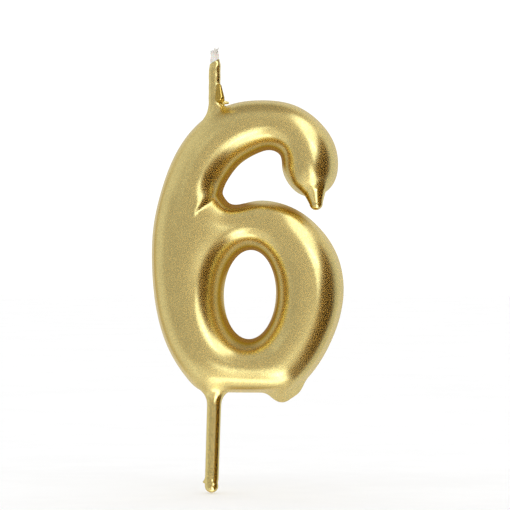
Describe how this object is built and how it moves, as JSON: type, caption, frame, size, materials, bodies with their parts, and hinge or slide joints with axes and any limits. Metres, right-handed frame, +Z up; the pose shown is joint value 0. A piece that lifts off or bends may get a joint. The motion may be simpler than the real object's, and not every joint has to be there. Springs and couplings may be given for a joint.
{
  "type": "number birthday candle",
  "caption": "Numeral six candle: moulded wax numeral with a twisted cotton wick and a push-in pick, dip-coated in satin gold lacquer with dried drips.",
  "frame": {"origin": "on the pick's axis, at the top of its plain wall, just under the collar of lacquer: the level that the cake's surface or a holder's rim comes to", "axes": "+Z up towards the wick, which the pick leans from by 1.8 degrees; -Y out of the rounded front of the numeral, +Y out of its flat back; +X to the right as the numeral is read"},
  "size_m": [0.0343, 0.0094, 0.0792],
  "materials": {
    "wax": "satin",
    "gold_lacquer": "satin",
    "pick_wood": "matte",
    "priming_wax": "satin",
    "cotton": "matte"
  },
  "bodies": {
    "root": {"wax_numeral": "wax", "gold_film_numeral": "gold_lacquer", "gold_film_wick": "gold_lacquer", "gold_film_pick": "gold_lacquer", "support_pick": "pick_wood", "wick_priming": "priming_wax", "wick_yarn_1": "cotton", "wick_yarn_2": "cotton", "wick_yarn_3": "cotton"}
  },
  "joints": []
}
